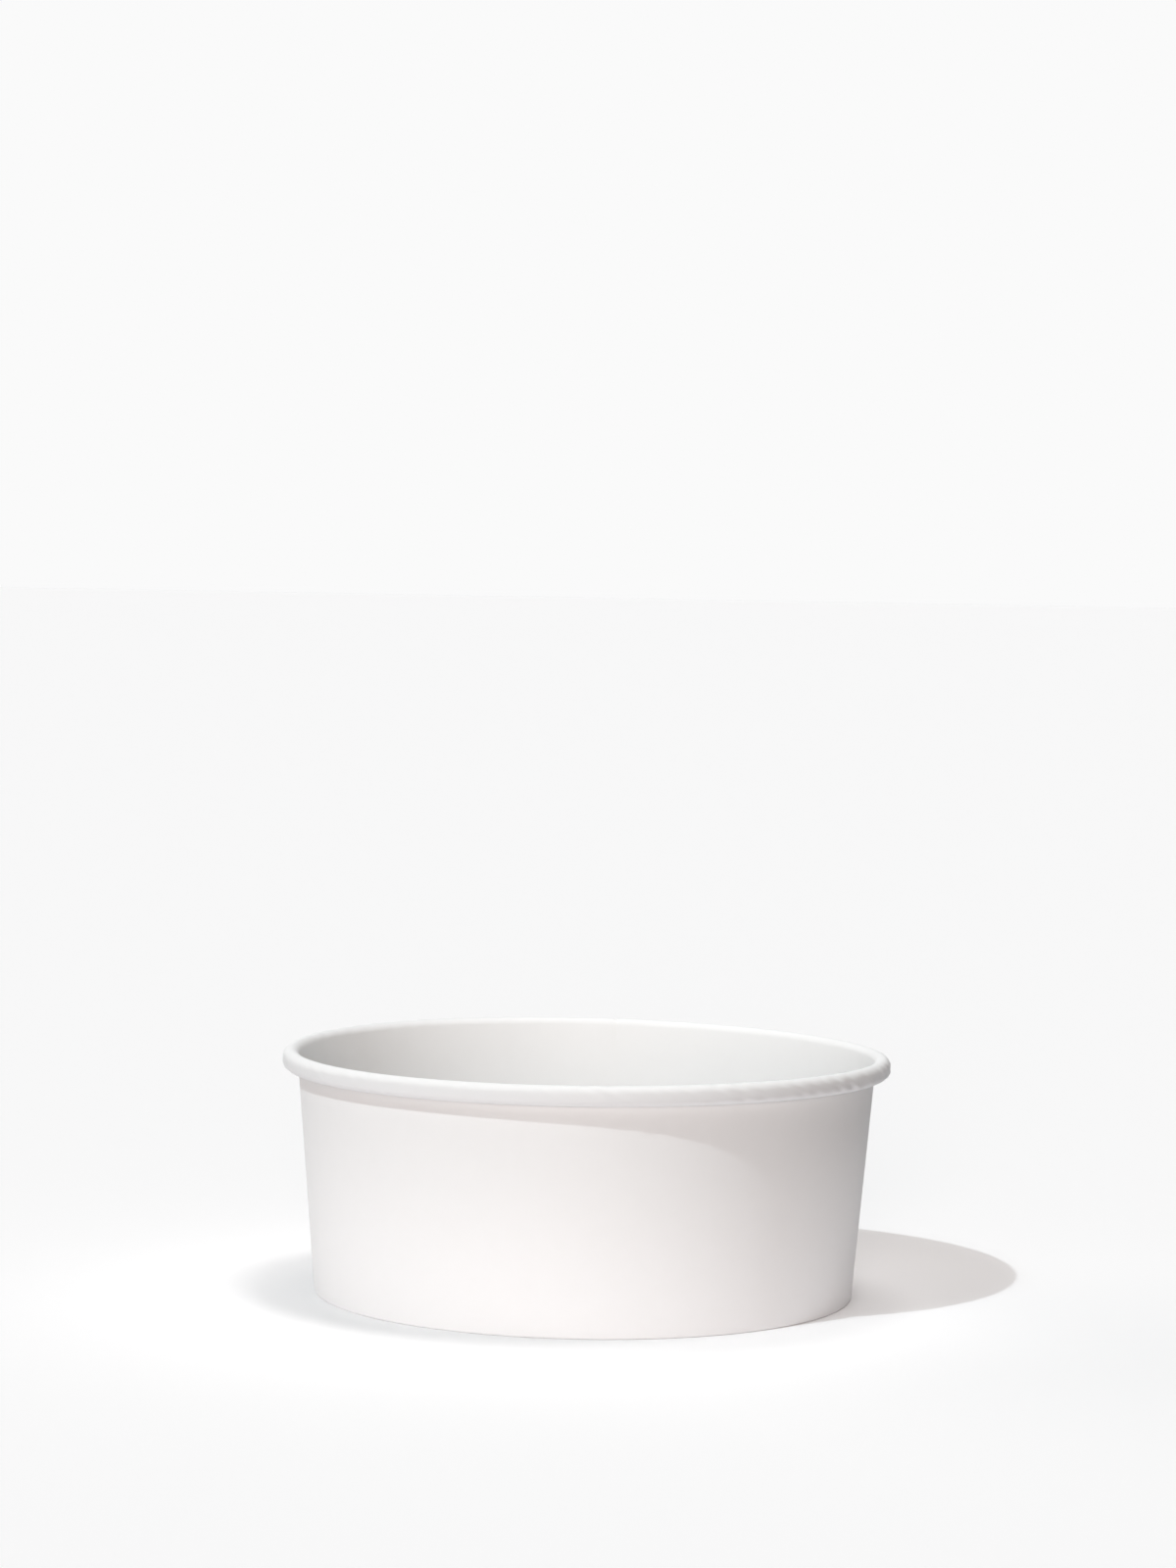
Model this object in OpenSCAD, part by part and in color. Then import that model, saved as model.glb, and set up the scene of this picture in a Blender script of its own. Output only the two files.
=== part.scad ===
// Round paperboard soup container with a rolled rim and a recessed bottom, standing open.
// Millimetres. The origin is the centre of the foot, on the table, and +Z is up.
// The wall is one fan-shaped blank. It is wrapped and lapped at the side seam, curled outwards
// along its upper edge, and folded in and up round the skirt of the bottom along its lower edge.

/* [Container] */
// Diameter over the rolled rim
rim_d = 150; // [142:1:180]
// Height from the table to the top of the rim
height = 60; // [45:1:110]
// Diameter of the foot, over its folded edge
foot_d = 133.2; // [110:0.2:138]

/* [Board] */
// Thickness of the wall's board
wall_t = 0.4; // [0.3:0.05:0.55]
// Thickness of the bottom's board
floor_t = 0.4; // [0.3:0.05:0.6]
// Play between boards that lie against each other
play = 0.02; // [0.01:0.01:0.05]

/* [Rolled rim] */
// Width of the roll across its section
roll_w = 3.95; // [3.4:0.05:6]
// Height of the roll's straight outer face
roll_land = 1.05; // [0.5:0.05:4]
// Half turns of board in the roll
roll_half_turns = 3; // [2:1:4]

/* [Bottom] */
// Height of the bottom's upper face above the table
floor_z = 7.5; // [5:0.5:15]
// Inside radius of the bend between the bottom and its skirt
bend_r = 0.6; // [0.4:0.1:1.2]
// Distance of the hem's edge below that bend
hem_drop = 0.6; // [0.3:0.1:2]

// Width that the fold at the foot is pressed flat to
foot_flat = 0.4; // [0.3:0.05:0.6]

/* [Side seam] */
// Width of the lap, where the ends of the blank are glued together
seam_w = 7; // [4:0.5:10]
// Length of wall over which the outer end climbs onto the inner one
ramp_w = 8; // [5:0.5:14]
// Direction of the middle of the lap, from +X towards +Y
seam_dir = 80.7; // [0:0.1:360]

/* [Hidden] */
// Facets of a turned surface, and steps in a half turn of bent board
turn_fn = 180;
bend_steps = 12;
board_colour = [0.94, 0.935, 0.92];
floor_colour = [0.92, 0.915, 0.90];

// Radii of the roll's first half turn, and of the fold at the foot
roll_r = roll_w / 2;
fold_in = floor_t / 2 + play;
fold_out = fold_in + wall_t;

// Centres of the roll's first half turn and of the fold, as radius and height
roll_c = [rim_d / 2 - roll_r, height - roll_r];
fold_c = [foot_d / 2 - fold_out, sqrt(pow(fold_out, 2) - pow(foot_flat / 2, 2))];

// The wall leans so that its inner face runs into the roll and its outer face into the fold
span = roll_c - fold_c;
lean = acos((roll_r + fold_in) / norm(span)) - atan2(span[1], span[0]);
up_wall = [sin(lean), cos(lean)];
out_wall = [cos(lean), -sin(lean)];

// Each half turn of the roll is smaller than the one before, about one of two centres in turn
roll_step = (wall_t + play) / 2;
roll_low_c = roll_c + [roll_step, -roll_land];
roll_under_z = roll_low_c[1] - (roll_r - roll_step);

// Length of the wall that shows below the roll
shown_len = (roll_under_z - fold_c[1]) / cos(lean);

// Centre of the bend at the rim of the bottom, set by the skirt between wall and hem
bend_z = floor_z - floor_t - bend_r;
skirt_face = fold_c * out_wall - floor_t / 2;
bend_c = [(skirt_face - bend_r + bend_z * sin(lean)) / cos(lean), bend_z];
skirt_len = (bend_c - fold_c) * up_wall;
hem_len = skirt_len - hem_drop;

// Angles of the lap and of the ramp
mid_r = (foot_d + rim_d) / 4 - roll_r;
seam_arc = seam_w / mid_r * 180 / PI;
ramp_arc = ramp_w / mid_r * 180 / PI;
seam_end = seam_dir + seam_arc / 2;
ramp_end = seam_end + ramp_arc;

// Shift of the axis of the climbing board, square to the lap's edge, and its growth in radius
ramp_shift = (wall_t + 2 * play) / sin(ramp_arc);
ramp_grow = sqrt(pow(mid_r + wall_t - play / 2, 2) + pow(ramp_shift, 2)) - mid_r;

// Direction at an angle
function ray(a) = [cos(a), sin(a)];

// Point of the section at a distance up the wall from the fold, and out from the skirt's middle
function on_wall(up, out) = fold_c + up * up_wall + out * out_wall;

// Bent stretch of board: pairs of points, one on each face, from one angle to another
function bent(centre, face_r, back_r, from, to) = [
    for (i = [0:bend_steps])
        let(a = from + (to - from) * i / bend_steps)
        [centre + face_r * ray(a), centre + back_r * ray(a)]
];

// One half turn of the roll, clockwise from its starting angle down to its end
function roll_turn(i, from, to) =
    let(r = roll_r - i * roll_step)
    bent(i % 2 == 0 ? roll_c : roll_low_c, r, r - wall_t, from, to);

// Points raised to the table where they would reach below it
function pressed(points) = [for (p = points) [p[0], max(0, p[1])]];

// Closed outline of a board from its pairs of points: along one face and back along the other
function outline(pairs) = [
    for (p = pairs) p[0],
    for (i = [len(pairs) - 1:-1:0]) pairs[i][1]
];

// The wall's board from the hem's edge, round the fold and up the wall, to the end in the roll
wall_pairs = [
    [on_wall(hem_len, -fold_in), on_wall(hem_len, -fold_out)],
    each bent(fold_c, fold_in, fold_out, 180 - lean, 360 - lean),
    each roll_turn(0, 180 - lean, 0),
    for (i = [1:roll_half_turns - 1]) each roll_turn(i, i % 2 == 1 ? 0 : 180, i % 2 == 1 ? -180 : 0)
];

// The bottom's board from the axis, round its bend and down to the skirt's edge
bottom_pairs = [
    [[0, floor_z], [0, floor_z - floor_t]],
    each bent(bend_c, bend_r + floor_t, bend_r, 90, -lean),
    [on_wall(play, floor_t / 2), on_wall(play, -floor_t / 2)]
];

// Upright wedge about the axis, wider than the container
module wedge(from, to, h) {
    linear_extrude(height = h)
        polygon([[0, 0], for (i = [0:4]) rim_d * ray(from + (to - from) * i / 4)]);
}

// Second board on the wall, between two angles, with its thickness and what its ends are short by
module second_board(from, to, thick, short) {
    inner = fold_out - wall_t / 2;
    outer = fold_out + thick;
    top = shown_len - short;
    rotate([0, 0, from]) rotate_extrude(angle = to - from, $fn = turn_fn)
        polygon([
            on_wall(short, inner), on_wall(short, outer),
            on_wall(top, outer), on_wall(top, inner)
        ]);
}

// Solid cone whose face follows the climbing end of the blank, at a depth below its outer face
module climbing_cone(depth) {
    foot_r = fold_c[0] + (fold_out - fold_c[1] * sin(lean)) / cos(lean) + ramp_grow - depth;
    translate(ramp_shift * [each ray(seam_end - 90), 0])
        cylinder(h = height, r1 = foot_r, r2 = foot_r + height * tan(lean), $fn = turn_fn);
}

// The outer end of the blank, where it climbs and where it lies on the inner end
module outer_end() {
    second_board(seam_end - seam_arc, seam_end, wall_t, 0);
    intersection() {
        climbing_cone(0);
        second_board(seam_end - play, ramp_end, 2 * wall_t, play);
    }
}

// What the climbing end leaves free inside, from the bottom up to the roll's underside
module climbing_hollow() {
    intersection() {
        climbing_cone(wall_t / cos(lean));
        translate([0, 0, floor_z]) wedge(seam_end, ramp_end, roll_under_z - floor_z);
    }
}

// The wrapped blank: wall, roll, fold and hem, with the lapped seam
module sidewall() {
    color(board_colour) difference() {
        union() {
            rotate_extrude($fn = turn_fn) polygon(pressed(outline(wall_pairs)));
            outer_end();
        }
        climbing_hollow();
    }
}

// The drawn bottom: a flat disc with a bend and a skirt held between wall and hem
module bottom_disc() {
    color(floor_colour) rotate_extrude($fn = turn_fn) polygon(outline(bottom_pairs));
}

sidewall();
bottom_disc();
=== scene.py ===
"""Looks of an open paper soup container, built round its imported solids.

The container is a lapped wall with a rolled rim and a hem, and a drawn bottom whose skirt is held
in the hem. Both are bent from board, so each is modelled along the board's section, which is then
turned about the container's axis. Lengths are in metres and angles in degrees.
"""

from __future__ import annotations

import logging
import math
from dataclasses import dataclass
from enum import Enum
from typing import Callable

import bpy
import numpy as np
from mathutils import Matrix, Vector

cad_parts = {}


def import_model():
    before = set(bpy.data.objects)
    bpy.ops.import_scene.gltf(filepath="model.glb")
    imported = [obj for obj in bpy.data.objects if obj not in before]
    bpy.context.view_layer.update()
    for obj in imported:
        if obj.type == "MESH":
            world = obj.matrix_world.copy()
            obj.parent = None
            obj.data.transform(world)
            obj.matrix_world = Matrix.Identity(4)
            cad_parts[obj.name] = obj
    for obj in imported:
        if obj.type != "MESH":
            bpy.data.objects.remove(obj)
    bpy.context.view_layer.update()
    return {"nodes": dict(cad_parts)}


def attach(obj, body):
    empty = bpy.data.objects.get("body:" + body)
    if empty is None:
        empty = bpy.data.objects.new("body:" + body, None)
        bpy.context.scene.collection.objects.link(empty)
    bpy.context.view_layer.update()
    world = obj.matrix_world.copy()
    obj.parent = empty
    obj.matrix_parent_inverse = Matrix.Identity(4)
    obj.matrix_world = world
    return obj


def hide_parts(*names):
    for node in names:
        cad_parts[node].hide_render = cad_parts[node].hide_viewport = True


LOG = logging.getLogger("soup_container")
AXIS_UP = Vector((0.0, 0.0, 1.0))
AXIS_BACK = Vector((0.0, 1.0, 0.0))
Rgb = tuple[float, float, float]


def point(radius: float, height: float) -> Vector:
    """Point of a section, which lies in the upright plane through +X."""
    return Vector((radius, 0.0, height))


def smooth(value: np.ndarray) -> np.ndarray:
    """Eases a value from 0 to 1, level at both ends.

    Args:
        value: Numbers of any size.

    Returns:
        0 where the value is below 0, 1 where it is above 1, and an S curve between.
    """
    held = np.clip(value, 0.0, 1.0)
    return held * held * (3.0 - 2.0 * held)


def waves(heading: np.ndarray, parts: tuple[tuple[int, float, float], ...]) -> np.ndarray:
    """Uneven waves round the axis.

    Args:
        heading: Directions from the axis.
        parts: The waves that are added up: how many there are round the axis, height and phase.

    Returns:
        Height of the waves at each direction.
    """
    angle = np.radians(heading)
    total = np.zeros_like(angle)
    for count, share, phase in parts:
        total += share * np.sin(count * angle + phase + 0.8 * np.sin(7 * angle + phase))
    return total


@dataclass(frozen=True)
class Sizes:
    """Sizes that the wall and the bottom share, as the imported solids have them."""

    rim_d: float = 0.1500
    height: float = 0.0600
    foot_d: float = 0.1332
    wall_t: float = 0.0004
    floor_t: float = 0.0004
    play: float = 0.00002
    roll_w: float = 0.00395
    roll_land: float = 0.00105
    floor_z: float = 0.0075
    bend_r: float = 0.0006
    hem_drop: float = 0.0006
    foot_flat: float = 0.0004
    seam_w: float = 0.007
    ramp_w: float = 0.008
    seam_dir: float = 80.7

    @property
    def roll_r(self) -> float:
        """Radius of the roll's first half turn."""
        return self.roll_w / 2

    @property
    def roll_step(self) -> float:
        """What each half turn of the roll is smaller than the one before."""
        return (self.wall_t + self.play) / 2

    @property
    def roll_centre(self) -> Vector:
        """Centre of the roll's first half turn."""
        return point(self.rim_d / 2 - self.roll_r, self.height - self.roll_r)

    @property
    def roll_low_centre(self) -> Vector:
        """Centre of the roll's second half turn, below its straight outer face."""
        return self.roll_centre + point(self.roll_step, -self.roll_land)

    @property
    def roll_foot(self) -> float:
        """Height just under the roll, one whole radius below its lower centre."""
        return self.roll_low_centre.z - self.roll_r

    @property
    def fold_in(self) -> float:
        """Radius of the fold at the foot, inside the board."""
        return self.floor_t / 2 + self.play

    @property
    def fold_out(self) -> float:
        """Radius of the fold at the foot, outside the board."""
        return self.fold_in + self.wall_t

    @property
    def fold_centre(self) -> Vector:
        """Centre of the fold at the foot."""
        rise = math.sqrt(self.fold_out**2 - (self.foot_flat / 2) ** 2)
        return point(self.foot_d / 2 - self.fold_out, rise)

    @property
    def lean(self) -> float:
        """Angle of the wall from upright."""
        span = self.roll_centre - self.fold_centre
        apart = math.acos((self.roll_r + self.fold_in) / span.length)
        return math.degrees(apart - math.atan2(span.z, span.x))

    @property
    def up_wall(self) -> Vector:
        """Direction up the wall."""
        return point(math.sin(math.radians(self.lean)), math.cos(math.radians(self.lean)))

    @property
    def out_wall(self) -> Vector:
        """Direction out of the wall."""
        return point(math.cos(math.radians(self.lean)), -math.sin(math.radians(self.lean)))

    @property
    def wall_len(self) -> float:
        """Length of the straight wall between the fold and the roll."""
        span = self.roll_centre - self.fold_centre
        return math.sqrt(span.length**2 - (self.roll_r + self.fold_in) ** 2)

    @property
    def bend_centre(self) -> Vector:
        """Centre of the bend between the bottom and its skirt."""
        rise = self.floor_z - self.floor_t - self.bend_r
        face = self.fold_centre.dot(self.out_wall) - self.floor_t / 2
        reach = (face - self.bend_r + rise * self.up_wall.x) / self.up_wall.z
        return point(reach, rise)

    @property
    def skirt_len(self) -> float:
        """Length of the bottom's skirt, from its bend to the middle of the fold."""
        return (self.bend_centre - self.fold_centre).dot(self.up_wall)

    @property
    def hem_len(self) -> float:
        """Length of the hem above the middle of the fold."""
        return self.skirt_len - self.hem_drop

    @property
    def seam_arc(self) -> float:
        """Angle of the lap."""
        return math.degrees(self.seam_w / self._mid_r)

    @property
    def ramp_arc(self) -> float:
        """Angle over which the outer end climbs onto the inner one."""
        return math.degrees(self.ramp_w / self._mid_r)

    @property
    def seam_end(self) -> float:
        """Direction of the inner end's cut edge."""
        return self.seam_dir + self.seam_arc / 2

    @property
    def _mid_r(self) -> float:
        """Radius of the wall at half its height."""
        return (self.foot_d + self.rim_d) / 4 - self.roll_r

    def on_wall(self, up: float, out: float) -> Vector:
        """Point at a distance up the wall from the fold, and out from the skirt's middle."""
        return self.fold_centre + self.up_wall * up + self.out_wall * out


class BoardFace(Enum):
    """The faces of a board, each with the place of its finish among a piece's materials."""

    SHOWN = 0
    FOOD = 1
    CUT = 2


@dataclass(frozen=True)
class BoardFinish:
    """Paperboard: a little mottled, with fibres under its coating and a satin gloss."""

    name: str
    colour: Rgb
    mottle_colour: Rgb
    roughness: float
    gloss: float
    mottle_size: float
    fibre_size: float
    fibre_depth: float
    sheen_spread: float = 0.05

    def material(self) -> bpy.types.Material:
        """Builds the finish.

        Returns:
            A material that reads Object coordinates.
        """
        made = bpy.data.materials.new(self.name)
        made.use_nodes = True
        tree = made.node_tree
        shader = tree.nodes["Principled BSDF"]
        shader.inputs["Specular IOR Level"].default_value = self.gloss
        place = tree.nodes.new("ShaderNodeTexCoord").outputs["Object"]
        clouds = self._noise(tree, place, self.mottle_size, detail=6.0)
        tint = tree.nodes.new("ShaderNodeMix")
        tint.data_type = "RGBA"
        tint.inputs["A"].default_value = (*self.colour, 1.0)
        tint.inputs["B"].default_value = (*self.mottle_colour, 1.0)
        tree.links.new(clouds, tint.inputs["Factor"])
        tree.links.new(tint.outputs["Result"], shader.inputs["Base Color"])

        sheen = tree.nodes.new("ShaderNodeMapRange")
        sheen.inputs["To Min"].default_value = self.roughness - self.sheen_spread
        sheen.inputs["To Max"].default_value = self.roughness + self.sheen_spread
        tree.links.new(clouds, sheen.inputs["Value"])
        tree.links.new(sheen.outputs["Result"], shader.inputs["Roughness"])

        relief = tree.nodes.new("ShaderNodeBump")
        relief.inputs["Distance"].default_value = self.fibre_depth
        tree.links.new(self._noise(tree, place, self.fibre_size, detail=4.0), relief.inputs["Height"])
        tree.links.new(relief.outputs["Normal"], shader.inputs["Normal"])
        return made

    @staticmethod
    def _noise(
        tree: bpy.types.NodeTree, place: bpy.types.NodeSocket, size: float, detail: float
    ) -> bpy.types.NodeSocket:
        """Adds cloudy noise.

        Args:
            tree: Node tree of the finish.
            place: Socket of the Object coordinates.
            size: Size of the clouds.
            detail: How many finer sizes they are made of.

        Returns:
            Socket of the noise, from 0 to 1.
        """
        noise = tree.nodes.new("ShaderNodeTexNoise")
        noise.inputs["Scale"].default_value = 1 / size
        noise.inputs["Detail"].default_value = detail
        noise.inputs["Roughness"].default_value = 0.6
        tree.links.new(place, noise.inputs["Vector"])
        return noise.outputs["Fac"]


COATED_OUTSIDE = BoardFinish(
    name="coated_board",
    colour=(0.900, 0.892, 0.880),
    mottle_colour=(0.885, 0.877, 0.862),
    roughness=0.5,
    gloss=0.15,
    mottle_size=0.004,
    fibre_size=0.0006,
    fibre_depth=0.00001,
)
COATED_INSIDE = BoardFinish(
    name="lined_board",
    colour=(0.886, 0.885, 0.882),
    mottle_colour=(0.870, 0.868, 0.863),
    roughness=0.45,
    gloss=0.12,
    mottle_size=0.005,
    fibre_size=0.0008,
    fibre_depth=0.00001,
)
# The bottom's lined board is written darker than the wall's. This is painted shade, which holds down
# the strong light on the upward-facing bottom and the light it throws round the inside.
SHADE_DARKENED_BOTTOM = BoardFinish(
    name="lined_bottom_board_painted_shade",
    colour=(0.815, 0.812, 0.800),
    mottle_colour=(0.795, 0.791, 0.776),
    roughness=0.5,
    gloss=0.12,
    mottle_size=0.005,
    fibre_size=0.0008,
    fibre_depth=0.00001,
)
RAW_EDGE = BoardFinish(
    name="cut_board",
    colour=(0.840, 0.820, 0.780),
    mottle_colour=(0.760, 0.735, 0.690),
    roughness=0.85,
    gloss=0.25,
    mottle_size=0.0004,
    fibre_size=0.0001,
    fibre_depth=0.00003,
)
PLAIN_UNDERSIDE = BoardFinish(
    name="uncoated_board",
    colour=(0.870, 0.858, 0.832),
    mottle_colour=(0.835, 0.820, 0.790),
    roughness=0.75,
    gloss=0.3,
    mottle_size=0.0025,
    fibre_size=0.0004,
    fibre_depth=0.00003,
)


class BentBoard:
    """A board that is bent along its section and then turned about the container's axis.

    The section's vertices come in pairs, one on each face, from the edge that it starts at. In the
    turned board each vertex knows its pair and its face, and in a wrapped one its direction too.
    """

    def __init__(self, name: str, slot: str) -> None:
        """Keeps the piece's name and its slot in the record."""
        self.name = name
        self.slot = slot
        self.piece: bpy.types.Object | None = None
        self.section = np.zeros((0, 2, 2))

    def start(self, middle: Vector, length: float, thick: float, lean: float) -> None:
        """Adds the first stretch of board as a plane across its thickness.

        Args:
            middle: Centre of the stretch.
            length: Its length along the board.
            thick: The board's thickness.
            lean: Angle of the stretch from upright.
        """
        bpy.ops.object.select_all(action="DESELECT")
        turn = (math.pi / 2, math.radians(lean), 0.0)
        bpy.ops.mesh.primitive_plane_add(size=1.0, location=middle, rotation=turn)
        self.piece = bpy.context.object
        self.piece.name = self.name
        self.piece.data.name = self.name
        self.piece.scale = (thick, length, 1.0)
        bpy.ops.object.transform_apply(location=True, rotation=True, scale=True)

    def open_edge(self, first: int) -> None:
        """Selects the edge from which the board goes on.

        Args:
            first: Lower index of the edge's two vertices, which follow each other.
        """
        self.select_edges(lambda pair: set(pair) == {first, first + 1})

    def select_edges(self, wanted: Callable[[tuple[int, int]], bool]) -> None:
        """Enters edit mode with only some edges selected.

        Args:
            wanted: Tells from an edge's two vertex indices whether it is selected.
        """
        bpy.ops.object.mode_set(mode="EDIT")
        bpy.ops.mesh.select_mode(type="EDGE")
        bpy.ops.mesh.select_all(action="DESELECT")
        bpy.ops.object.mode_set(mode="OBJECT")
        for edge in self.piece.data.edges:
            edge.select = wanted(tuple(edge.vertices))
        bpy.ops.object.mode_set(mode="EDIT")

    def run(self, way: Vector, steps: int) -> None:
        """Extrudes the open edge straight on.

        Args:
            way: Where the edge goes, from where it is.
            steps: Stretches that the way is split into.
        """
        for _ in range(steps):
            bpy.ops.mesh.extrude_region_move(TRANSFORM_OT_translate={"value": way / steps})

    def bend(self, centre: Vector, angle: float, steps: int) -> None:
        """Spins the open edge about a point of the section's plane.

        Args:
            centre: Point that it turns about.
            angle: How far it turns, over the top and outwards where positive.
            steps: Stretches that the bend is split into.
        """
        turn = -math.radians(angle)
        bpy.ops.mesh.spin(steps=steps, dupli=False, angle=turn, center=centre, axis=AXIS_BACK)

    def mark_pairs(self) -> None:
        """Reads the section back, and writes to each vertex its pair and its face."""
        bpy.ops.object.mode_set(mode="OBJECT")
        mesh = self.piece.data
        places = [(corner.co.x, corner.co.z) for corner in mesh.vertices]
        self.section = np.array(places).reshape(-1, 2, 2)
        count = len(mesh.vertices)
        pair = mesh.attributes.new("pair", "FLOAT", "POINT")
        pair.data.foreach_set("value", np.arange(count) // 2)
        face = mesh.attributes.new("face", "FLOAT", "POINT")
        face.data.foreach_set("value", np.arange(count) % 2)

    def wrap(self, begin: float, end: float, steps: int, cuts: int) -> None:
        """Turns the section about the container's axis, with a cut edge at each end.

        Args:
            begin: Direction of the board's first end, from +X towards +Y.
            end: Direction of its last end.
            steps: Steps between the two.
            cuts: Cuts that each step is then split by.
        """
        self.mark_pairs()
        count = len(self.piece.data.vertices)
        bpy.ops.object.mode_set(mode="EDIT")
        bpy.ops.mesh.select_all(action="SELECT")
        turn = -math.radians(end - begin)
        bpy.ops.mesh.spin(
            steps=steps,
            dupli=False,
            angle=turn,
            center=(0.0, 0.0, 0.0),
            axis=AXIS_UP,
            use_auto_merge=False,
        )
        bpy.ops.object.mode_set(mode="OBJECT")
        step = np.arange(len(self.piece.data.vertices)) // count
        heading = self.piece.data.attributes.new("heading", "FLOAT", "POINT")
        heading.data.foreach_set("value", begin + (end - begin) * step / steps)
        self.select_edges(lambda pair: pair[0] // count != pair[1] // count)
        bpy.ops.mesh.subdivide(number_cuts=cuts)
        bpy.ops.object.mode_set(mode="OBJECT")

    def marks(self, name: str) -> np.ndarray:
        """Reads one of the numbers that the vertices carry.

        Args:
            name: Its name.

        Returns:
            One number for each vertex.
        """
        values = np.zeros(len(self.piece.data.vertices))
        self.piece.data.attributes[name].data.foreach_get("value", values)
        return values

    def place(self, heading: np.ndarray, section: np.ndarray) -> None:
        """Moves every vertex to its direction, radius and height.

        Args:
            heading: Direction of each vertex from the axis.
            section: Radius and height of each vertex.
        """
        angle = np.radians(heading)
        radius, height = section[:, 0], section[:, 1]
        places = np.stack([radius * np.cos(angle), radius * np.sin(angle), height], axis=-1)
        self.piece.data.vertices.foreach_set("co", places.ravel())
        self.piece.data.update()

    def dress(self, finishes: dict[BoardFace, BoardFinish], sharp: float) -> None:
        """Gives each face of the board its finish, and smooths its bends.

        Args:
            finishes: Finish of each of the board's faces.
            sharp: Angle above which an edge stays sharp.
        """
        for side in BoardFace:
            self.piece.data.materials.append(finishes[side].material())
        face = np.rint(self.marks("face")).astype(int)
        for polygon in self.piece.data.polygons:
            sides = {face[index] for index in polygon.vertices}
            polygon.material_index = sides.pop() if len(sides) == 1 else BoardFace.CUT.value
        bpy.ops.object.select_all(action="DESELECT")
        self.piece.select_set(True)
        bpy.context.view_layer.objects.active = self.piece
        bpy.ops.object.mode_set(mode="EDIT")
        bpy.ops.mesh.select_all(action="SELECT")
        bpy.ops.mesh.normals_make_consistent(inside=False)
        bpy.ops.object.mode_set(mode="OBJECT")
        bpy.ops.object.shade_smooth_by_angle(angle=math.radians(sharp))


@dataclass(frozen=True)
class HandWork:
    """What forming leaves on the board: ripples, a swollen lap, a little warp, knurls and pleats."""

    RIPPLES = ((61, 0.9, 0.4), (74, 1.0, 2.1), (89, 0.8, 4.4), (103, 0.5, 1.3), (127, 0.3, 5.2))
    PLEATS = ((41, 0.5, 1.1), (54, 0.45, 3.0), (67, 0.4, 5.3))

    ripple_depth: float = 0.00014
    grain_dir: float = -32.0
    ripple_slant: float = 1500.0
    ripple_rise: float = 0.0015
    ripple_inside: float = 0.15
    seam_swell: float = 0.0001
    seam_swell_arc: float = 5.0
    roll_ramp_arc: float = 1.1
    roll_join: float = 0.002
    roll_join_len: float = 0.003
    lap_ease_arc: float = 1.5
    foot_press: float = 0.5
    foot_top: float = 0.0015
    wall_depth: float = 0.00003
    wall_low: float = 0.009
    wall_rise: float = 0.01
    saddle: float = 0.00024
    saddle_turned: float = 0.00013
    knurl_depth: float = 0.00008
    knurl_low: float = 0.0006
    knurl_top: float = 0.0056
    knurl_fade: float = 0.001
    pleat_depth: float = 0.00008
    pleat_reach: float = 0.0590
    pleat_len: float = 0.005
    pleat_low: float = 0.0055
    pleat_rise: float = 0.001

    def ripples(self, heading: np.ndarray) -> np.ndarray:
        """Uneven waves round the roll, 4 to 8 mm long and deepest where it curls across the grain.

        Args:
            heading: Directions from the axis.

        Returns:
            Height of the waves at each direction.
        """
        angle = np.radians(heading)
        across_grain = np.cos(2 * (angle - math.radians(self.grain_dir)))
        swell = 0.55 + 0.45 * across_grain + 0.1 * np.sin(5 * angle + 0.6) * np.sin(11 * angle + 1.9)
        return self.ripple_depth * swell * waves(heading, self.RIPPLES) / 1.6

    def warp(self, heading: np.ndarray) -> np.ndarray:
        """How far the rim rises out of its plane.

        Args:
            heading: Directions from the axis.

        Returns:
            Rise at each direction.
        """
        twice = np.radians(2 * heading)
        return -self.saddle * np.sin(twice) - self.saddle_turned * np.cos(twice)

    def swelling(self, heading: np.ndarray, seam_dir: float) -> np.ndarray:
        """How far the doubled board at the lap swells the roll.

        Args:
            heading: Directions from the axis.
            seam_dir: Direction of the lap.

        Returns:
            Swelling at each direction.
        """
        away = np.abs((heading - seam_dir + 180) % 360 - 180)
        return self.seam_swell * smooth(1 - away / self.seam_swell_arc)

    def knurls(self, turns: np.ndarray, height: np.ndarray) -> np.ndarray:
        """How deep the knurls are that press the hem to the bottom's skirt.

        Args:
            turns: How many knurls away from the board's end each place is.
            height: Height of each place above the foot.

        Returns:
            Depth at each place.
        """
        above = smooth((height - self.knurl_low) / self.knurl_fade)
        below = smooth((self.knurl_top - height) / self.knurl_fade)
        return self.knurl_depth * above * below * (0.5 + 0.5 * np.sin(math.tau * turns))

    def pleats(self, heading: np.ndarray, radius: np.ndarray, height: np.ndarray) -> np.ndarray:
        """How far the bottom sinks in the uneven folds at its edge, where its skirt is drawn down.

        Args:
            heading: Directions from the axis.
            radius: Distances from the axis.
            height: Heights above the foot.

        Returns:
            Sinking at each place.
        """
        folds = 0.5 + 0.5 * waves(heading, self.PLEATS)
        at_edge = smooth((radius - self.pleat_reach) / self.pleat_len)
        above_skirt = smooth((height - self.pleat_low) / self.pleat_rise)
        return self.pleat_depth * at_edge * above_skirt * folds


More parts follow.
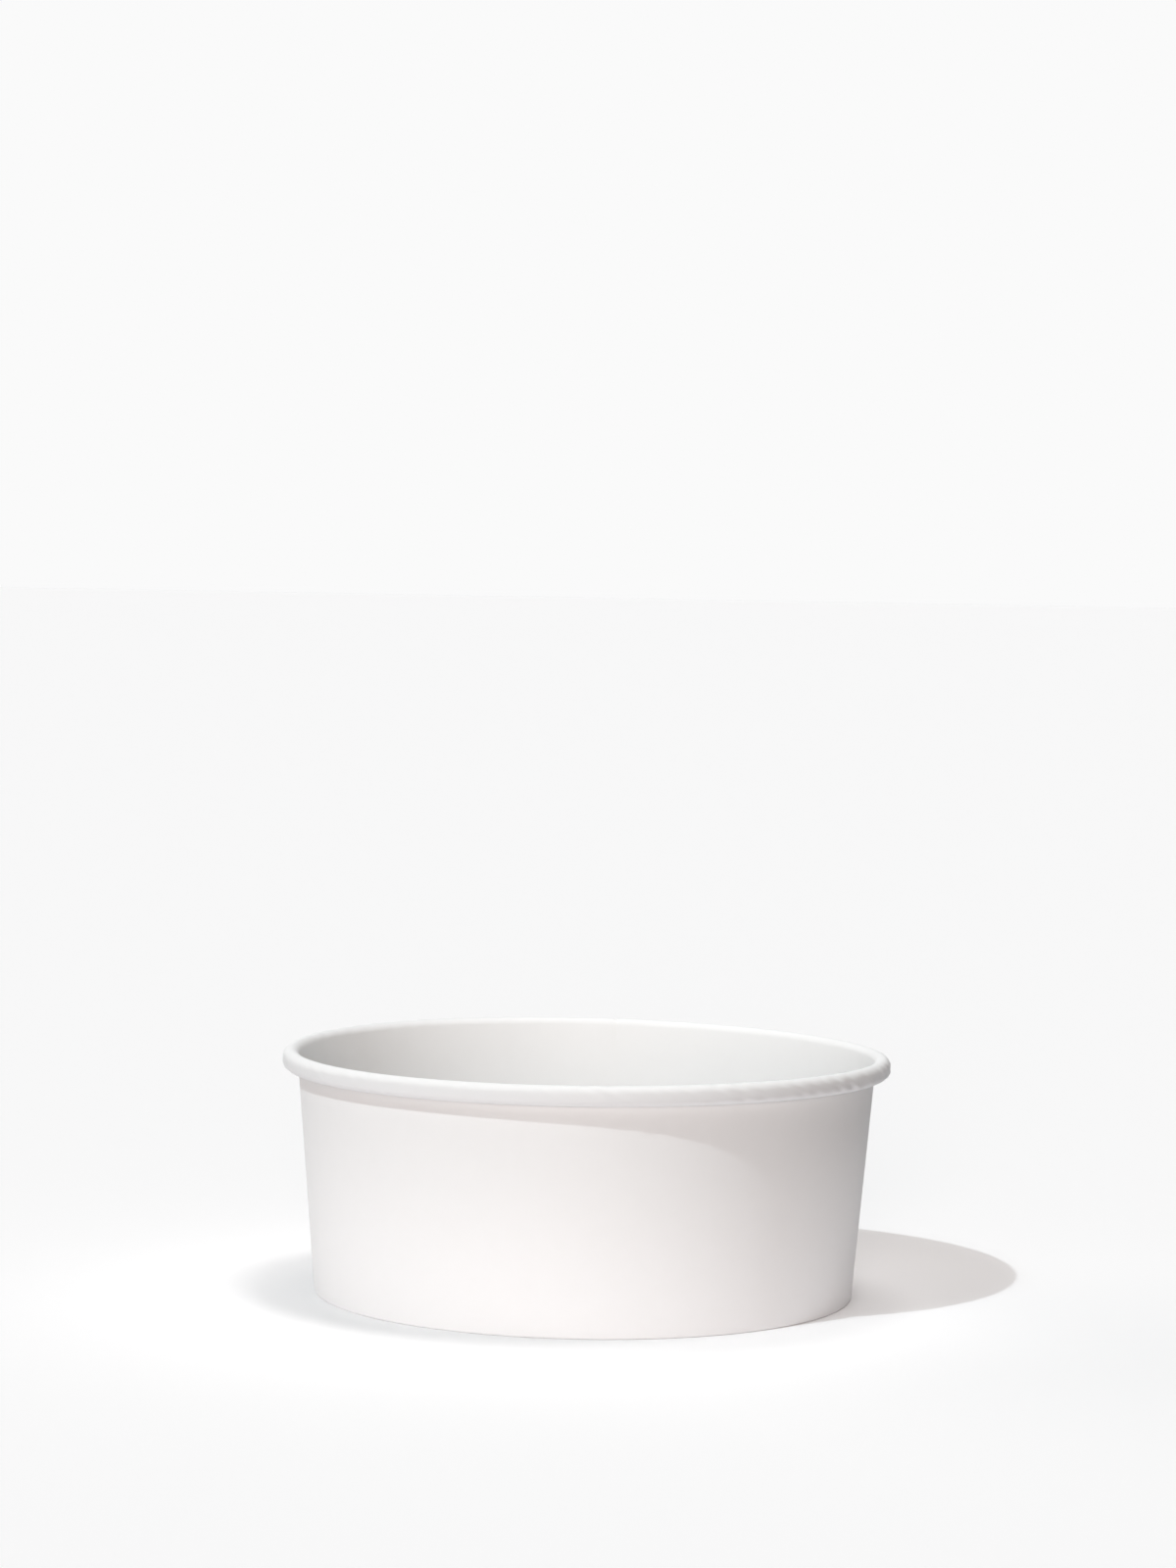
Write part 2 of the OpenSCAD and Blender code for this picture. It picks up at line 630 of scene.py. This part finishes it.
class Sidewall(BentBoard):
    """The wrapped blank: hem, fold, wall and rolled rim, with the lapped seam."""

    FINISHES = {
        BoardFace.SHOWN: COATED_OUTSIDE,
        BoardFace.FOOD: COATED_INSIDE,
        BoardFace.CUT: RAW_EDGE,
    }
    HEM_PAIRS = 6
    WRAP_STEPS = 160

    def __init__(self, sizes: Sizes, work: HandWork) -> None:
        """Keeps the sizes and what forming leaves."""
        super().__init__("wrapped_wall", "wall_board")
        self.sizes = sizes
        self.work = work

    def build(self) -> bpy.types.Object:
        """Models the board from the hem to its end in the roll, wraps it and finishes it.

        Returns:
            The finished piece.
        """
        sizes = self.sizes
        first = 0.0003
        hem_out = -sizes.fold_in - sizes.wall_t / 2
        self.start(sizes.on_wall(sizes.hem_len - first / 2, hem_out), first, sizes.wall_t, sizes.lean)
        self.open_edge(0)
        self.run(sizes.up_wall * (first - sizes.hem_len), 4)
        self.bend(sizes.fold_centre, -180, 12)
        self.run(sizes.up_wall * sizes.wall_len, 12)
        self.bend(sizes.roll_centre, 180 - sizes.lean, 14)
        self.run(point(0.0, -sizes.roll_land), 2)
        self.bend(sizes.roll_low_centre, 180, 12)
        self.run(point(0.0, sizes.roll_land), 1)
        self.bend(sizes.roll_centre, 180, 7)
        end = sizes.seam_end - 360 - sizes.seam_arc
        self.wrap(sizes.seam_end, end, steps=self.WRAP_STEPS, cuts=3)
        self.form()
        self.dress(self.FINISHES, sharp=50)
        return self.piece

    def form(self) -> None:
        """Gives the wrapped board its lap, knurls, ripples and warp."""
        sizes, work = self.sizes, self.work
        heading = self.marks("heading")
        pair = np.rint(self.marks("pair")).astype(int)
        shown = self.section[pair, 0]
        food = self.section[pair, 1]
        out = (shown - food) / sizes.wall_t

        in_roll = smooth((food[:, 1] - sizes.roll_foot + work.roll_join) / work.roll_join_len)
        wrapped = sizes.seam_end - heading
        ramp = sizes.ramp_arc + (work.roll_ramp_arc - sizes.ramp_arc) * in_roll
        climb = smooth((wrapped - 360 + ramp) / ramp)
        inner_end = smooth((sizes.seam_arc + work.lap_ease_arc - wrapped) / work.lap_ease_arc)
        pressed = smooth(-out[:, 1] * 1.4 - 0.2) * (shown[:, 1] < work.foot_top)
        thinned = work.foot_press * pressed
        turns = wrapped / (360 + sizes.seam_arc) * self.WRAP_STEPS
        knurled = (pair < self.HEM_PAIRS) * work.knurls(turns, food[:, 1])
        thick = sizes.wall_t * (1 - np.maximum(climb, inner_end) * thinned) - knurled
        lift = climb * (sizes.wall_t * (1 - thinned) + sizes.play * (1 - pressed))
        lift = lift + self._unevenness(heading, food, in_roll)

        depth = lift + np.where(self.marks("face") < 0.5, thick, 0.0)
        section = food + out * depth[:, None]
        section[:, 1] += work.warp(heading) * (food[:, 1] / sizes.height) ** 2
        section[:, 1] = np.maximum(section[:, 1], 0.0)
        self.place(heading, section)

    def _unevenness(
        self, heading: np.ndarray, food: np.ndarray, in_roll: np.ndarray
    ) -> np.ndarray:
        """How far the board stands out of its even shape, apart from the lap.

        Args:
            heading: Direction of each vertex from the axis.
            food: Radius and height of the board's inner face at each vertex.
            in_roll: 1 in the roll and 0 in the wall, and between where they join.

        Returns:
            Lift of each vertex.
        """
        sizes, work = self.sizes, self.work
        radius, height = food[:, 0], food[:, 1]
        outer = smooth((radius - sizes.roll_centre.x + 0.0008) / 0.002)
        held = work.ripple_inside + (1 - work.ripple_inside) * outer
        above_foot = smooth((height - sizes.roll_foot) / work.ripple_rise)
        slant = work.ripple_slant * (height - sizes.roll_centre.z)
        in_ripples = held * above_foot * work.ripples(heading + slant)
        in_swelling = work.swelling(heading, sizes.seam_dir)
        uneven = np.sin(np.pi * height / sizes.height) * np.sin(3 * np.radians(heading) + 0.7)
        in_wall = work.wall_depth * smooth((height - work.wall_low) / work.wall_rise) * uneven
        return in_roll * (in_ripples - in_swelling) + in_wall


class BottomDisc(BentBoard):
    """The drawn bottom: a flat disc with a bend, and a skirt held between wall and hem."""

    FINISHES = {
        BoardFace.SHOWN: PLAIN_UNDERSIDE,
        BoardFace.FOOD: SHADE_DARKENED_BOTTOM,
        BoardFace.CUT: RAW_EDGE,
    }

    def __init__(self, sizes: Sizes, work: HandWork) -> None:
        """Keeps the sizes and what forming leaves."""
        super().__init__("drawn_bottom", "bottom_board")
        self.sizes = sizes
        self.work = work

    def build(self) -> bpy.types.Object:
        """Models the board from the skirt's edge to the axis, turns it and finishes it.

        Returns:
            The finished piece.
        """
        sizes = self.sizes
        first = 0.0003
        low = sizes.play + first / 2
        self.start(sizes.on_wall(low, 0.0), first, sizes.floor_t, sizes.lean)
        self.open_edge(2)
        self.run(sizes.up_wall * (sizes.skirt_len - first - sizes.play), 4)
        self.bend(sizes.bend_centre, -90 - sizes.lean, 10)
        self.run(point(-sizes.bend_centre.x, 0.0), 12)
        self.close_round(steps=360)
        self.form()
        self.dress(self.FINISHES, sharp=50)
        return self.piece

    def close_round(self, steps: int) -> None:
        """Turns the section's outline all the way round, and closes it on the axis.

        Args:
            steps: Steps in the whole turn.
        """
        self.mark_pairs()
        # Only the outline turns, so the edges across the board go, apart from the skirt's cut edge
        self.select_edges(lambda pair: pair[0] // 2 == pair[1] // 2 and pair[0] // 2 > 0)
        bpy.ops.mesh.delete(type="EDGE")
        bpy.ops.mesh.select_all(action="SELECT")
        bpy.ops.mesh.spin(
            steps=steps,
            dupli=False,
            angle=math.tau,
            center=(0.0, 0.0, 0.0),
            axis=AXIS_UP,
        )
        bpy.ops.mesh.select_all(action="SELECT")
        bpy.ops.mesh.remove_doubles(threshold=1e-6)
        bpy.ops.object.mode_set(mode="OBJECT")

    def form(self) -> None:
        """Gives the bottom its pleats."""
        mesh = self.piece.data
        places = np.zeros(len(mesh.vertices) * 3)
        mesh.vertices.foreach_get("co", places)
        places = places.reshape(-1, 3)
        heading = np.degrees(np.arctan2(places[:, 1], places[:, 0]))
        radius = np.hypot(places[:, 0], places[:, 1])
        places[:, 2] -= self.work.pleats(heading, radius, places[:, 2])
        mesh.vertices.foreach_set("co", places.ravel())
        mesh.update()


@dataclass(frozen=True)
class Lamp:
    """A lamp so far off that it lights everything alike, from a disc of sky."""

    name: str
    azimuth: float
    elevation: float
    width: float
    level: float
    colour: Rgb = (1.0, 1.0, 1.0)

    def build(self) -> bpy.types.Object:
        """Adds the lamp.

        Returns:
            The lamp, which gives a white face turned to it the brightness of its level.
        """
        around, up = math.radians(self.azimuth), math.radians(self.elevation)
        flat = Vector((math.cos(around), math.sin(around), 0.0)) * math.cos(up)
        toward = flat + AXIS_UP * math.sin(up)
        bpy.ops.object.select_all(action="DESELECT")
        bpy.ops.object.light_add(type="SUN", location=toward)
        made = bpy.context.object
        made.name = self.name
        made.rotation_euler = toward.to_track_quat("Z", "Y").to_euler()
        made.data.energy = self.level * math.pi
        made.data.angle = math.radians(self.width)
        made.data.color = self.colour
        return made


KEY_TINT = (0.92, 1.02, 1.06)
FRONT_TINT = (1.08, 0.98, 0.935)
TOP_TINT = (1.02, 1.0, 0.99)
LAMPS = (
    Lamp("key_lamp", -132.7, 47.4, 0.9, 0.32, KEY_TINT),
    Lamp("key_halo", -132.7, 47.4, 8.0, 0.09, KEY_TINT),
    Lamp("front_fill", -93.0, 10.0, 20.0, 0.42, FRONT_TINT),
    Lamp("back_left_fill", 150.0, 10.0, 45.0, 0.23, FRONT_TINT),
    Lamp("right_top_fill", -10.0, 78.0, 16.0, 0.31, TOP_TINT),
    Lamp("back_top_fill", 90.0, 78.0, 20.0, 0.23, TOP_TINT),
)


@dataclass(frozen=True)
class PhotographCamera:
    """The camera as it stood for the photograph, with its lens and where it looked."""

    place: tuple[float, float, float] = (0.0, -1.01354, 0.17771)
    lens: float = 94.365
    yaw: float = -0.05
    pitch: float = 2.926
    roll: float = 1.017

    def build(self) -> bpy.types.Object:
        """Adds the camera and makes it the scene's.

        Returns:
            The camera.
        """
        yaw, pitch, roll = (math.radians(turn) for turn in (self.yaw, self.pitch, self.roll))
        flat = Vector((math.sin(yaw), math.cos(yaw), 0.0))
        ahead = flat * math.cos(pitch) - AXIS_UP * math.sin(pitch)
        level = ahead.cross(AXIS_UP).normalized()
        over = level.cross(ahead)
        right = level * math.cos(roll) + over * math.sin(roll)
        above = over * math.cos(roll) - level * math.sin(roll)
        bpy.ops.object.select_all(action="DESELECT")
        bpy.ops.object.camera_add(location=self.place)
        made = bpy.context.object
        made.name = "photograph_camera"
        axes = Matrix((right, above, -ahead)).transposed()
        made.rotation_euler = axes.to_euler()
        made.data.lens = self.lens
        made.data.sensor_width = 36.0
        made.data.clip_start, made.data.clip_end = 0.01, 500.0
        bpy.context.scene.camera = made
        return made


@dataclass(frozen=True)
class Backdrop:
    """The white surroundings: the floor, and the world behind it in the same white.

    The camera sees a floor painted almost as white as the world behind it. The container is lit by
    a floor that is pale near it and dark farther off.
    """

    white: Rgb = (0.956, 0.956, 0.956)
    paint: Rgb = (0.995, 0.985, 0.985)
    bounce: Rgb = (0.96, 0.94, 0.97)
    far_bounce: Rgb = (0.0, 0.0, 0.0)
    middle: tuple[float, float, float] = (-0.02, -0.02, 0.0)
    near: float = 0.18
    near_edge: float = 0.1
    reach: float = 60.0

    def build(self) -> bpy.types.Object:
        """Adds the floor and sets the world.

        Returns:
            The floor.
        """
        self._world()
        bpy.ops.object.select_all(action="DESELECT")
        bpy.ops.mesh.primitive_plane_add(size=self.reach, location=(0.0, 0.0, 0.0))
        floor = bpy.context.object
        floor.name = "floor"
        floor.data.materials.append(self._floor_finish())
        return floor

    @staticmethod
    def _seen(tree: bpy.types.NodeTree) -> bpy.types.NodeSocket:
        """Adds what tells whether a ray comes from the camera, straight or by gloss or glass.

        Args:
            tree: Node tree of the floor or the world.

        Returns:
            A socket that is 1 for such a ray.
        """
        path = tree.nodes.new("ShaderNodeLightPath")
        seen = path.outputs["Is Camera Ray"]
        for name in ("Is Glossy Ray", "Is Transmission Ray"):
            either = tree.nodes.new("ShaderNodeMath")
            either.operation = "MAXIMUM"
            tree.links.new(seen, either.inputs[0])
            tree.links.new(path.outputs[name], either.inputs[1])
            seen = either.outputs["Value"]
        return seen

    def _world(self) -> None:
        """Sets the world: white where it is seen, and without light on the object."""
        world = bpy.data.worlds.new("surroundings")
        world.use_nodes = True
        bpy.context.scene.world = world
        tree = world.node_tree
        dark = tree.nodes["Background"]
        dark.inputs["Strength"].default_value = 0.0
        white = tree.nodes.new("ShaderNodeBackground")
        white.inputs["Color"].default_value = (*self.white, 1.0)
        either = tree.nodes.new("ShaderNodeMixShader")
        tree.links.new(self._seen(tree), either.inputs["Fac"])
        tree.links.new(dark.outputs["Background"], either.inputs[1])
        tree.links.new(white.outputs["Background"], either.inputs[2])
        tree.links.new(either.outputs["Shader"], tree.nodes["World Output"].inputs["Surface"])

    def _floor_finish(self) -> bpy.types.Material:
        """Builds the floor's material.

        Returns:
            A material with one look for the camera and another for the light on the object.
        """
        made = bpy.data.materials.new("floor_paint")
        made.use_nodes = True
        tree = made.node_tree
        tree.nodes.remove(tree.nodes["Principled BSDF"])
        white = tree.nodes.new("ShaderNodeBsdfDiffuse")
        white.inputs["Color"].default_value = (*self.paint, 1.0)
        either = tree.nodes.new("ShaderNodeMixShader")
        tree.links.new(self._seen(tree), either.inputs["Fac"])
        tree.links.new(self._bouncing(tree), either.inputs[1])
        tree.links.new(white.outputs["BSDF"], either.inputs[2])
        tree.links.new(either.outputs["Shader"], tree.nodes["Material Output"].inputs["Surface"])
        return made

    def _bouncing(self, tree: bpy.types.NodeTree) -> bpy.types.NodeSocket:
        """Adds the look of the floor to the light that it sends on to the object.

        Args:
            tree: Node tree of the floor.

        Returns:
            The socket of a plain shader that is pale near the object and dark farther off.
        """
        place = tree.nodes.new("ShaderNodeTexCoord")
        apart = tree.nodes.new("ShaderNodeVectorMath")
        apart.operation = "DISTANCE"
        apart.inputs[1].default_value = self.middle
        tree.links.new(place.outputs["Object"], apart.inputs[0])
        fade = tree.nodes.new("ShaderNodeMapRange")
        fade.inputs["From Min"].default_value = self.near * (1 - self.near_edge)
        fade.inputs["From Max"].default_value = self.near * (1 + self.near_edge)
        tree.links.new(apart.outputs["Value"], fade.inputs["Value"])
        pale = tree.nodes.new("ShaderNodeMix")
        pale.data_type = "RGBA"
        pale.inputs["A"].default_value = (*self.bounce, 1.0)
        pale.inputs["B"].default_value = (*self.far_bounce, 1.0)
        tree.links.new(fade.outputs["Result"], pale.inputs["Factor"])
        paint = tree.nodes.new("ShaderNodeBsdfDiffuse")
        tree.links.new(pale.outputs["Result"], paint.inputs["Color"])
        return paint.outputs["BSDF"]


@dataclass(frozen=True)
class Studio:
    """Camera, lamps, floor and surroundings."""

    camera: PhotographCamera = PhotographCamera()
    backdrop: Backdrop = Backdrop()
    lamps: tuple[Lamp, ...] = LAMPS

    def build(self) -> None:
        """Sets the studio up."""
        bpy.context.scene.view_settings.view_transform = "Standard"
        self.camera.build()
        self.backdrop.build()
        for lamp in self.lamps:
            lamp.build()


def main() -> None:
    """Builds the container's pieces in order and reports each."""
    logging.basicConfig(level=logging.INFO, format="%(message)s")
    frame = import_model()
    LOG.info("frame has %s", ", ".join(sorted(frame["nodes"])))
    Studio().build()
    sizes = Sizes()
    work = HandWork()
    boards = {"sidewall": Sidewall(sizes, work), "bottom_disc": BottomDisc(sizes, work)}
    for node, board in boards.items():
        piece = board.build()
        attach(piece, "root")
        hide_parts(node)
        LOG.info("%s stands for %s with %d faces", piece.name, node, len(piece.data.polygons))


if __name__ == "__main__":
    main()
